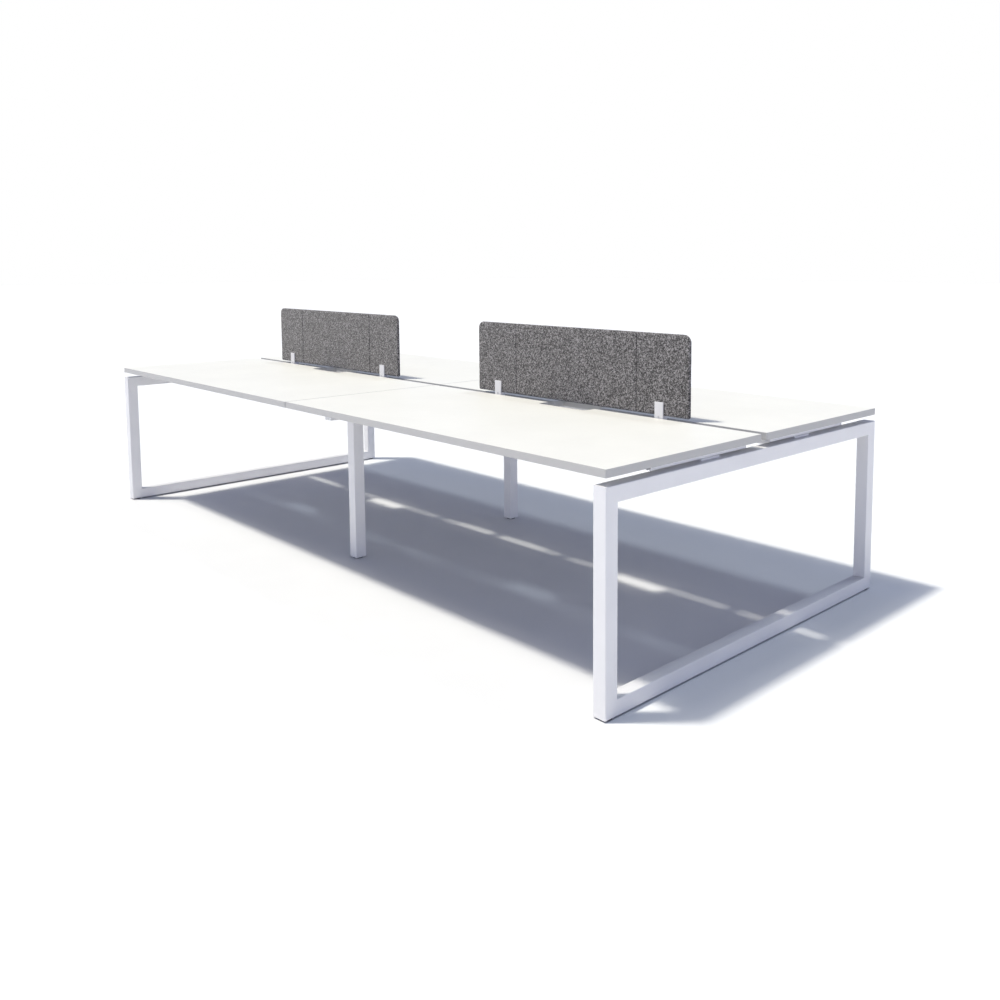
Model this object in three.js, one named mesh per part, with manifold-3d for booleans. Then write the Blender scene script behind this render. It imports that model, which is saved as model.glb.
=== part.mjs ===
// A back-to-back bench desk on two closed-loop end frames and an inset middle frame, with four
// sliding worktops and two felt screens. Millimetres, +X along the desk, +Y to the rear, +Z up,
// origin on the floor under the middle of the desk.

import * as THREE from 'three';
import { mergeVertices } from 'three/addons/utils/BufferGeometryUtils.js';
import Module from 'manifold-3d';

const wasm = await Module();
wasm.setup();

// Driving dimensions

const GAP = 0.3; // clearance between pieces that meet

const TOP_LENGTH = 1799; // one worktop, along X
const TOP_DEPTH = 755;
const TOP_THICKNESS = 25;
const TOP_HEIGHT = 725; // floor to the writing surface
const TOP_CORNER = 5; // plan radius of a worktop's corners
const TOP_SEAM = 2; // between the left and the right worktops
const CABLE_GAP = 30; // between the front and the rear worktops
const EDGE_BAND = 2; // thickness of the edging
const NOTCH_WIDTH = 260; // cable notch in the middle of a worktop's inner edge
const NOTCH_DEPTH = 55;
const NOTCH_CORNER = 10;

const TUBE = 50; // square tube of the frames and legs
const TUBE_WALL = 2;
const TUBE_CORNER = 3;
const FLOAT_GAP = 25; // worktop underside above the frames
const FRAME_LIFT = 5; // frames above the floor

const MID_LEG_INSET = 300; // middle legs' outer face behind the worktop's edge
const MID_RAIL_OVERHANG = 105; // cross rail's end past the middle leg's outer face
const CAP_PLATE = 2;
const CAP_PLUG = 12;

const RAIL_LENGTH = 482; // slide rail under a worktop
const RAIL_WIDTH = 20;
const RAIL_HEIGHT = 17;
const RAIL_WALL = 2;
const RAIL_SLOT = 8;
const RAIL_INNER_END = 70; // distance of its inner end from the desk's centre line
const RAIL_END_INSET = 25; // its outer face from the worktop's end
const RAIL_SEAM_INSET = 3; // the inner rail's face from the middle of the desk
const RAIL_STOP = 3; // thickness of the stops in a rail

const BLOCK_LENGTH = 95; // slide block on a frame
const END_BLOCK_WIDTH = 28;
const BLOCK_INNER_END = 221; // distance of its inner end from the centre line
const SLIDE_CLEARANCE = 0.5; // between the block's head and the rail around it

const BEAM_WIDTH = 30;
const BEAM_HEIGHT = 40;
const BEAM_WALL = 2;
const BEAM_PLATE_WIDTH = 90;
const BEAM_PLATE_HEIGHT = 44;
const BEAM_PLATE = 5;

const SCREEN_WIDTH = 1176;
const SCREEN_HEIGHT = 301;
const SCREEN_THICKNESS = 15;
const SCREEN_LIFT = 10; // felt's lower edge above the worktop
const SCREEN_TOP_CORNER = 30;
const SCREEN_FOOT_CORNER = 8;
const SCREEN_EDGE = 7; // rounding of the felt's edges
const SEAM_INSET = 250; // sewn seams from the screen's ends
const SEAM_WIDTH = 2;
const SEAM_DEPTH = 1;
const CORE_THICKNESS = 5;
const CORE_INSET = 10;

const BRACKET_INSET = 136; // bracket's middle from the screen's end
const BRACKET_WIDTH = 40;
const BRACKET_DEPTH = 26;
const TIE_HEIGHT = 8;
const CHEEK_HEIGHT = 50; // bracket's cheeks above the felt's lower edge

const FOOT_RADIUS = 22;
const FOOT_BEVEL = 1;
const STEM_RADIUS = 5;
const STEM_LENGTH = 40;
const NUT_RADIUS = 10;
const NUT_HEIGHT = 12;
const INSERT_HEIGHT = 20;

const ROUND_SEGMENTS = 24;
const CORNER_SEGMENTS = 3;
const FELT_CORNER_SEGMENTS = 6;
const FELT_EDGE_SEGMENTS = 4;

// Places that follow from them

const TOP_UNDERSIDE = TOP_HEIGHT - TOP_THICKNESS;
const FRAME_TOP = TOP_UNDERSIDE - FLOAT_GAP;
const FRAME_HEIGHT = FRAME_TOP - FRAME_LIFT;
const HALF_LENGTH = TOP_LENGTH + TOP_SEAM / 2;
const HALF_DEPTH = TOP_DEPTH + CABLE_GAP / 2;
const TOP_MIDDLE_X = (TOP_LENGTH + TOP_SEAM) / 2;
const TOP_MIDDLE_Y = (TOP_DEPTH + CABLE_GAP) / 2;
const FRAME_X = HALF_LENGTH - TUBE / 2;
const MID_LEG_Y = HALF_DEPTH - MID_LEG_INSET - TUBE / 2;
const MID_RAIL_END = HALF_DEPTH - MID_LEG_INSET + MID_RAIL_OVERHANG;
const MID_RAIL_Z = FRAME_TOP - TUBE / 2;
const RAIL_UNDERSIDE = TOP_UNDERSIDE - GAP - RAIL_HEIGHT;
const BLOCK_UNDERSIDE = FRAME_TOP + GAP;
const BLOCK_MIDDLE_Y = BLOCK_INNER_END + BLOCK_LENGTH / 2;
const BLOCK_NECK = RAIL_SLOT - 2 * SLIDE_CLEARANCE;
const BLOCK_HEAD = RAIL_WIDTH - 2 * RAIL_WALL - 2 * SLIDE_CLEARANCE;
const OUTER_RAIL_X = HALF_LENGTH - RAIL_END_INSET - RAIL_WIDTH / 2;
const INNER_RAIL_X = RAIL_SEAM_INSET + RAIL_WIDTH / 2;
const BEAM_LENGTH = FRAME_X - TUBE;
const TIE_LENGTH = 2 * BLOCK_MIDDLE_Y - BEAM_WIDTH;
const SCREEN_FOOT = TOP_HEIGHT + SCREEN_LIFT;
const SEAM_OFFSET = SCREEN_WIDTH / 2 - SEAM_INSET;
const BRACKET_OFFSET = SCREEN_WIDTH / 2 - BRACKET_INSET;
const FOOT_Y = HALF_DEPTH - TUBE / 2;

const SIDES = [
  ['left', -1],
  ['right', 1],
];
const ROWS = [
  ['front', -1],
  ['rear', 1],
];

// Finishes

function finish(color, roughness, metalness = 0) {
  return new THREE.MeshStandardMaterial({ color, roughness, metalness });
}

const FRAME_WHITE = () => finish(0xeceef6, 0.45, 0.1);
const BOARD_WHITE = () => finish(0xfaf9f5, 0.5);
const EDGE_GREY = () => finish(0xc9c9cb, 0.5);
const FELT_GREY = () => finish(0x77767a, 0.95);
const CORE_GREY = () => finish(0x9a948a, 0.8);
const FOOT_BLACK = () => finish(0x17171a, 0.6);
const CAP_WHITE = () => finish(0xe4e5ec, 0.5);

// Solids and shapes

function toSolid(geometry) {
  const bare = geometry.clone();
  bare.deleteAttribute('normal');
  bare.deleteAttribute('uv');
  const merged = mergeVertices(bare);
  const mesh = new wasm.Mesh({
    numProp: 3,
    vertProperties: new Float32Array(merged.attributes.position.array),
    triVerts: new Uint32Array(merged.index.array),
  });
  return new wasm.Manifold(mesh);
}

function toGeometry(solid) {
  const mesh = solid.getMesh();
  const geometry = new THREE.BufferGeometry();
  geometry.setAttribute('position', new THREE.BufferAttribute(mesh.vertProperties, 3));
  geometry.setIndex(new THREE.BufferAttribute(mesh.triVerts, 1));
  geometry.computeVertexNormals();
  return geometry;
}

function joined(first, ...others) {
  const add = (solid, other) => solid.add(toSolid(other));
  return toGeometry(others.reduce(add, toSolid(first)));
}

function cut(first, ...others) {
  const subtract = (solid, other) => solid.subtract(toSolid(other));
  return toGeometry(others.reduce(subtract, toSolid(first)));
}

function box(width, depth, height, x = 0, y = 0, z = 0) {
  return new THREE.BoxGeometry(width, depth, height).translate(x, y, z);
}

function polygon(points) {
  return new THREE.Shape(points.map(([x, y]) => new THREE.Vector2(x, y)));
}

// A rectangle about the origin with its own radius at the lower and the upper corners.
function roundedRectangle(width, height, lower, upper = lower) {
  const x = width / 2;
  const y = height / 2;
  const shape = new THREE.Shape();
  shape.absarc(lower - x, lower - y, lower, Math.PI, 1.5 * Math.PI);
  shape.absarc(x - lower, lower - y, lower, -0.5 * Math.PI, 0);
  shape.absarc(x - upper, y - upper, upper, 0, 0.5 * Math.PI);
  shape.absarc(upper - x, y - upper, upper, 0.5 * Math.PI, Math.PI);
  return shape;
}

function rectangleHole(width, height) {
  const x = width / 2;
  const y = height / 2;
  return polygon([[-x, -y], [-x, y], [x, y], [x, -y]]);
}

function tubeSection(width, height, wall, corner) {
  const shape = roundedRectangle(width, height, corner);
  shape.holes.push(rectangleHole(width - 2 * wall, height - 2 * wall));
  return shape;
}

function extruded(shape, depth, curveSegments = CORNER_SEGMENTS) {
  return new THREE.ExtrudeGeometry(shape, { depth, curveSegments, bevelEnabled: false });
}

// An extrusion about the origin whose section lies in XZ and which runs along Y.
function alongY(shape, length) {
  return extruded(shape, length).translate(0, 0, -length / 2).rotateX(Math.PI / 2);
}

// An extrusion about the origin whose section lies in YZ and which runs along X.
function alongX(shape, length) {
  return alongY(shape, length).rotateZ(Math.PI / 2);
}

function stem(radius, height, z) {
  const geometry = new THREE.CylinderGeometry(radius, radius, height, ROUND_SEGMENTS);
  return geometry.rotateX(Math.PI / 2).translate(0, 0, z);
}

const desk = new THREE.Group();

function place(name, geometry, material, x, y, z, turn = 0) {
  const mesh = new THREE.Mesh(geometry, material());
  mesh.name = name;
  mesh.position.set(x, y, z);
  mesh.rotation.z = turn;
  desk.add(mesh);
}

function facing(row) {
  return row < 0 ? Math.PI : 0;
}

// End frames: four mitred tubes welded into a loop

// A tube about the origin along Y, its outer side up, cut back at 45 degrees at both ends.
function mitredTube(length) {
  const geometry = alongY(tubeSection(TUBE, TUBE, TUBE_WALL, TUBE_CORNER), length);
  const position = geometry.attributes.position;
  for (let i = 0; i < position.count; i += 1) {
    const setback = TUBE / 2 - position.getZ(i) + GAP;
    const end = Math.sign(position.getY(i));
    position.setY(i, end * (length / 2 - setback));
  }
  return geometry;
}

// The bottom rail's outer side is down, with a welded nut and a hole over each foot.
function bottomRail() {
  const rail = mitredTube(2 * HALF_DEPTH).rotateX(Math.PI);
  const nutMiddle = (TUBE_WALL + NUT_HEIGHT - TUBE) / 2;
  const nutHeight = TUBE_WALL + NUT_HEIGHT;
  const nut = stem(NUT_RADIUS, nutHeight, nutMiddle);
  const hole = stem(STEM_RADIUS + GAP, 2 * nutHeight, nutMiddle);
  const atFeet = (geometry) => ROWS.map(([, y]) => geometry.clone().translate(0, y * FOOT_Y, 0));
  return cut(joined(rail, ...atFeet(nut)), ...atFeet(hole));
}

function endFrame(side, x) {
  const bottom = FRAME_LIFT + TUBE / 2;
  const middle = FRAME_LIFT + FRAME_HEIGHT / 2;
  place(`end_frame_${side}_top_rail`, mitredTube(2 * HALF_DEPTH), FRAME_WHITE, x, 0, MID_RAIL_Z);
  place(`end_frame_${side}_bottom_rail`, bottomRail(), FRAME_WHITE, x, 0, bottom);
  for (const [row, y] of ROWS) {
    const leg = mitredTube(FRAME_HEIGHT).rotateX((-y * Math.PI) / 2);
    place(`end_frame_${side}_${row}_leg`, leg, FRAME_WHITE, x, y * FOOT_Y, middle);
  }
}

// Middle frame: a capped cross rail on two inset legs

function middleFrame() {
  const section = tubeSection(TUBE, TUBE, TUBE_WALL, TUBE_CORNER);
  const railLength = 2 * (MID_RAIL_END - CAP_PLATE - GAP);
  place('mid_cross_rail', alongY(section, railLength), FRAME_WHITE, 0, 0, MID_RAIL_Z);

  const legHeight = FRAME_HEIGHT - TUBE - GAP;
  const plug = TUBE - 2 * TUBE_WALL - 2 * GAP;
  const insert = cut(box(plug, plug, INSERT_HEIGHT), stem(STEM_RADIUS + GAP, 2 * INSERT_HEIGHT, 0));
  const capPlate = alongY(roundedRectangle(TUBE, TUBE, TUBE_CORNER), CAP_PLATE);
  const cap = joined(capPlate, box(plug, CAP_PLUG, plug, 0, -CAP_PLUG / 2, 0));
  const insertZ = FRAME_LIFT + INSERT_HEIGHT / 2;
  for (const [row, y] of ROWS) {
    const leg = extruded(section, legHeight);
    const capY = y * (MID_RAIL_END - CAP_PLATE / 2);
    place(`mid_leg_${row}`, leg, FRAME_WHITE, 0, y * MID_LEG_Y, FRAME_LIFT);
    place(`leg_insert_${row}`, insert, FOOT_BLACK, 0, y * MID_LEG_Y, insertZ);
    place(`mid_rail_cap_${row}`, cap, CAP_WHITE, 0, capY, MID_RAIL_Z, facing(y));
  }
}

// Beams between the frames, each with a bolting plate welded on both ends

function beams() {
  const length = BEAM_LENGTH - 2 * GAP;
  const plate = roundedRectangle(BEAM_PLATE_WIDTH, BEAM_PLATE_HEIGHT, TUBE_CORNER);
  plate.holes.push(rectangleHole(BEAM_WIDTH - 2 * BEAM_WALL, BEAM_HEIGHT - 2 * BEAM_WALL));
  const plateOffset = (length - BEAM_PLATE) / 2;
  const tube = alongX(tubeSection(BEAM_WIDTH, BEAM_HEIGHT, BEAM_WALL, TUBE_CORNER), length);
  const plates = SIDES.map(([, end]) => alongX(plate, BEAM_PLATE).translate(end * plateOffset, 0, 0));
  const beam = joined(tube, ...plates);
  for (const [side, x] of SIDES) {
    const beamX = (x * FRAME_X) / 2;
    for (const [row, y] of ROWS) {
      place(`beam_${row}_${side}`, beam, FRAME_WHITE, beamX, y * BLOCK_MIDDLE_Y, MID_RAIL_Z);
    }
  }
}

// Slide blocks on the frames: a spacer with a T-shaped head for each rail that runs on it

function slideBlock(width, headCentres) {
  const top = RAIL_UNDERSIDE - GAP - BLOCK_UNDERSIDE;
  const headFloor = RAIL_UNDERSIDE + RAIL_WALL + SLIDE_CLEARANCE - BLOCK_UNDERSIDE;
  const headTop = RAIL_UNDERSIDE + RAIL_HEIGHT - RAIL_WALL - SLIDE_CLEARANCE - BLOCK_UNDERSIDE;
  const outline = [[-width / 2, 0], [width / 2, 0], [width / 2, top]];
  for (const centre of headCentres) {
    outline.push([centre + BLOCK_NECK / 2, top], [centre + BLOCK_NECK / 2, headFloor]);
    outline.push([centre + BLOCK_HEAD / 2, headFloor], [centre + BLOCK_HEAD / 2, headTop]);
    outline.push([centre - BLOCK_HEAD / 2, headTop], [centre - BLOCK_HEAD / 2, headFloor]);
    outline.push([centre - BLOCK_NECK / 2, headFloor], [centre - BLOCK_NECK / 2, top]);
  }
  outline.push([-width / 2, top]);
  return alongY(polygon(outline), BLOCK_LENGTH);
}

function slideBlocks() {
  const endBlock = slideBlock(END_BLOCK_WIDTH, [0]);
  const midBlock = slideBlock(TUBE, [INNER_RAIL_X, -INNER_RAIL_X]);
  for (const [row, y] of ROWS) {
    const blockY = y * BLOCK_MIDDLE_Y;
    place(`slide_block_${row}_mid`, midBlock, FRAME_WHITE, 0, blockY, BLOCK_UNDERSIDE);
    for (const [side, x] of SIDES) {
      const blockX = x * OUTER_RAIL_X;
      place(`slide_block_${row}_${side}`, endBlock, FRAME_WHITE, blockX, blockY, BLOCK_UNDERSIDE);
    }
  }
}

// Worktops: board, edging and two slide rails each

function railSection() {
  const x = RAIL_WIDTH / 2;
  const inside = x - RAIL_WALL;
  const lip = RAIL_SLOT / 2;
  const roof = RAIL_HEIGHT - RAIL_WALL;
  return polygon([
    [lip, 0],
    [x, 0],
    [x, RAIL_HEIGHT],
    [-x, RAIL_HEIGHT],
    [-x, 0],
    [-lip, 0],
    [-lip, RAIL_WALL],
    [-inside, RAIL_WALL],
    [-inside, roof],
    [inside, roof],
    [inside, RAIL_WALL],
    [lip, RAIL_WALL],
  ]);
}

// A rail whose outer end points to +Y, with a stop at its inner end and one past the block.
function slideRail() {
  const middle = RAIL_INNER_END + RAIL_LENGTH / 2;
  const shutStop = BLOCK_INNER_END + BLOCK_LENGTH + GAP + RAIL_STOP / 2;
  const openStop = RAIL_INNER_END + RAIL_STOP / 2;
  const stops = [shutStop, openStop].map((y) =>
    box(RAIL_WIDTH - RAIL_WALL, RAIL_STOP, RAIL_HEIGHT - RAIL_WALL, 0, y - middle, RAIL_HEIGHT / 2),
  );
  return joined(alongY(railSection(), RAIL_LENGTH), ...stops);
}

// A worktop's outline about its middle, drawn in by an inset, with the cable notch on its -Y side.
function worktopOutline(inset) {
  const x = TOP_LENGTH / 2 - inset;
  const y = TOP_DEPTH / 2 - inset;
  const corner = TOP_CORNER - inset;
  const notchX = NOTCH_WIDTH / 2 + inset;
  const notchY = NOTCH_DEPTH - TOP_DEPTH / 2 + inset;
  const notchCorner = NOTCH_CORNER + inset;
  const shape = new THREE.Shape();
  shape.absarc(corner - x, corner - y, corner, Math.PI, 1.5 * Math.PI);
  shape.absarc(-notchX - corner, corner - y, corner, -0.5 * Math.PI, 0);
  shape.absarc(notchCorner - notchX, notchY - notchCorner, notchCorner, Math.PI, 0.5 * Math.PI, true);
  shape.absarc(notchX - notchCorner, notchY - notchCorner, notchCorner, 0.5 * Math.PI, 0, true);
  shape.absarc(notchX + corner, corner - y, corner, Math.PI, 1.5 * Math.PI);
  shape.absarc(x - corner, corner - y, corner, -0.5 * Math.PI, 0);
  shape.absarc(x - corner, y - corner, corner, 0, 0.5 * Math.PI);
  shape.absarc(corner - x, y - corner, corner, 0.5 * Math.PI, Math.PI);
  return shape;
}

function worktops() {
  const board = extruded(worktopOutline(EDGE_BAND + GAP / 2), TOP_THICKNESS);
  const ring = worktopOutline(0);
  ring.holes.push(worktopOutline(EDGE_BAND));
  const band = extruded(ring, TOP_THICKNESS);
  const rail = slideRail();
  const railY = RAIL_INNER_END + RAIL_LENGTH / 2;
  for (const [side, x] of SIDES) {
    for (const [row, y] of ROWS) {
      const topX = x * TOP_MIDDLE_X;
      const topY = y * TOP_MIDDLE_Y;
      const turn = facing(y);
      place(`worktop_${row}_${side}`, board, BOARD_WHITE, topX, topY, TOP_UNDERSIDE, turn);
      place(`edge_band_${row}_${side}`, band, EDGE_GREY, topX, topY, TOP_UNDERSIDE, turn);
      for (const [end, railX] of [['outer', OUTER_RAIL_X], ['inner', INNER_RAIL_X]]) {
        const name = `slide_rail_${row}_${side}_${end}`;
        place(name, rail, FRAME_WHITE, x * railX, y * railY, RAIL_UNDERSIDE, turn);
      }
    }
  }
}

// Screens: a core board between two felt shells, in forked brackets that rise through the cable gap

// The whole felt slab about its middle, with its edges rounded and its sewn seams pressed in.
function feltSlab() {
  const outline = roundedRectangle(SCREEN_WIDTH, SCREEN_HEIGHT, SCREEN_FOOT_CORNER, SCREEN_TOP_CORNER);
  const slab = new THREE.ExtrudeGeometry(outline, {
    depth: SCREEN_THICKNESS - 2 * SCREEN_EDGE,
    curveSegments: FELT_CORNER_SEGMENTS,
    bevelThickness: SCREEN_EDGE,
    bevelSize: SCREEN_EDGE,
    bevelOffset: -SCREEN_EDGE,
    bevelSegments: FELT_EDGE_SEGMENTS,
  });
  slab.translate(0, 0, SCREEN_EDGE - SCREEN_THICKNESS / 2);
  slab.rotateX(Math.PI / 2);
  const groove = box(SEAM_WIDTH, 2 * SEAM_DEPTH, 2 * SCREEN_HEIGHT);
  const grooves = SIDES.flatMap(([, x]) =>
    ROWS.map(([, y]) => groove.clone().translate(x * SEAM_OFFSET, (y * SCREEN_THICKNESS) / 2, 0)),
  );
  return cut(slab, ...grooves);
}

// The front and rear halves of the slab, hollowed for the core.
function feltShells() {
  const pocketDepth = CORE_THICKNESS + 2 * GAP;
  const pocket = box(SCREEN_WIDTH - 2 * CORE_INSET, pocketDepth, SCREEN_HEIGHT - 2 * CORE_INSET);
  const hollowed = cut(feltSlab(), pocket);
  const otherHalf = box(2 * SCREEN_WIDTH, SCREEN_THICKNESS, 2 * SCREEN_HEIGHT);
  const reach = (SCREEN_THICKNESS - GAP) / 2;
  return ROWS.map(([row, y]) => [row, cut(hollowed, otherHalf.clone().translate(0, -y * reach, 0))]);
}

function screenCore() {
  const width = SCREEN_WIDTH - 2 * CORE_INSET - 2 * GAP;
  const height = SCREEN_HEIGHT - 2 * CORE_INSET - 2 * GAP;
  return box(width, CORE_THICKNESS, height);
}

// A tie between the two beams and a fork: a post through the cable gap, a cheek on each of the felt's faces.
function screenBracket() {
  const postTop = SCREEN_FOOT - GAP - MID_RAIL_Z;
  const cheekTop = SCREEN_FOOT + CHEEK_HEIGHT - MID_RAIL_Z;
  const outside = BRACKET_DEPTH / 2;
  const inside = SCREEN_THICKNESS / 2 + GAP;
  const fork = polygon([
    [-outside, 0],
    [outside, 0],
    [outside, cheekTop],
    [inside, cheekTop],
    [inside, postTop],
    [-inside, postTop],
    [-inside, cheekTop],
    [-outside, cheekTop],
  ]);
  const tie = box(BRACKET_WIDTH, TIE_LENGTH - 2 * GAP, TIE_HEIGHT);
  return joined(tie, alongX(fork, BRACKET_WIDTH));
}

function screens() {
  const shells = feltShells();
  const core = screenCore();
  const bracket = screenBracket();
  const middleZ = SCREEN_FOOT + SCREEN_HEIGHT / 2;
  for (const [side, x] of SIDES) {
    const screenX = x * TOP_MIDDLE_X;
    place(`screen_core_${side}`, core, CORE_GREY, screenX, 0, middleZ);
    for (const [row, felt] of shells) {
      place(`screen_felt_${side}_${row}`, felt, FELT_GREY, screenX, 0, middleZ);
    }
    for (const [end, offset] of [['inner', -1], ['outer', 1]]) {
      const bracketX = x * (TOP_MIDDLE_X + offset * BRACKET_OFFSET);
      place(`screen_bracket_${side}_${end}`, bracket, FRAME_WHITE, bracketX, 0, MID_RAIL_Z);
    }
  }
}

// Levelling feet: a pad with a threaded stem up into the frame

function foot() {
  const padTop = FRAME_LIFT - GAP;
  const profile = [
    [0, 0],
    [FOOT_RADIUS - FOOT_BEVEL, 0],
    [FOOT_RADIUS, FOOT_BEVEL],
    [FOOT_RADIUS, padTop - FOOT_BEVEL],
    [FOOT_RADIUS - FOOT_BEVEL, padTop],
    [STEM_RADIUS, padTop],
    [STEM_RADIUS, padTop + STEM_LENGTH],
    [0, padTop + STEM_LENGTH],
  ];
  const points = profile.map(([radius, height]) => new THREE.Vector2(radius, height));
  return new THREE.LatheGeometry(points, ROUND_SEGMENTS).rotateX(Math.PI / 2);
}

function feet() {
  for (const [row, y] of ROWS) {
    place(`foot_${row}_mid`, foot(), FOOT_BLACK, 0, y * MID_LEG_Y, 0);
    for (const [side, x] of SIDES) {
      place(`foot_${row}_${side}`, foot(), FOOT_BLACK, x * FRAME_X, y * FOOT_Y, 0);
    }
  }
}

for (const [side, x] of SIDES) {
  endFrame(side, x * FRAME_X);
}
middleFrame();
beams();
slideBlocks();
worktops();
screens();
feet();

export default desk;
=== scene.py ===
"""A back-to-back bench desk, dressed for close viewing: powder-coated frames, edged worktops on
slide rails, felt screens with sewn seams, and levelling feet. Metres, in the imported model's own
frame."""

import math
from itertools import product

import bmesh
import bpy
from bpy.props import FloatProperty, FloatVectorProperty, IntProperty, PointerProperty
from bpy.types import Operator, Panel, PropertyGroup
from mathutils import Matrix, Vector, noise


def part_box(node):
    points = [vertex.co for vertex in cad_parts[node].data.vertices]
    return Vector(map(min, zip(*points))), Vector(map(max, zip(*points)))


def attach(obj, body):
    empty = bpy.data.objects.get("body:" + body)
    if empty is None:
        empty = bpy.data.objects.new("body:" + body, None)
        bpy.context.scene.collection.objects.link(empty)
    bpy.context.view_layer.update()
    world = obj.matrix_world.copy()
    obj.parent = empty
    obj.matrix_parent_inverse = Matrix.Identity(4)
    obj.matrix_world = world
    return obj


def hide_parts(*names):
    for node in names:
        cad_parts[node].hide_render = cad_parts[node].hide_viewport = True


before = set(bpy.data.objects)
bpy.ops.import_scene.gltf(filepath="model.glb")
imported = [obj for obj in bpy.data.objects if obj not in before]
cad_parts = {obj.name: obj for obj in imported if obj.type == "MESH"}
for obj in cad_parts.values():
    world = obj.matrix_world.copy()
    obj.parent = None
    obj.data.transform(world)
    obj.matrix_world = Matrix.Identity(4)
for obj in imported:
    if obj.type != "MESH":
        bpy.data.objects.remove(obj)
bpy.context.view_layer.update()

bl_info = {
    "name": "Bench desk",
    "version": (1, 0, 0),
    "blender": (4, 5, 0),
    "location": "3D View > Sidebar > Bench desk",
    "description": "Dresses the packed bench desk with its finished pieces, materials and stage",
    "category": "Object",
}

SIDES = ("left", "right")
ROWS = ("front", "rear")
COLUMNS = ("left", "mid", "right")
ENDS = ("inner", "outer")
SQUARE = ((-1, -1), (1, -1), (1, 1), (-1, 1))
X, Y, Z = 0, 1, 2
CORNER_STEPS = 6
EDGE_STEPS = 3
WASHER_SIDES = 28
HEAD_SIDES = 6
RIB_SIDES = 10
MERGE_DISTANCE = 1e-5
FLAT_ANGLE = math.radians(1.0)
SHARP_ANGLE = math.radians(40.0)


# Settings

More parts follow.
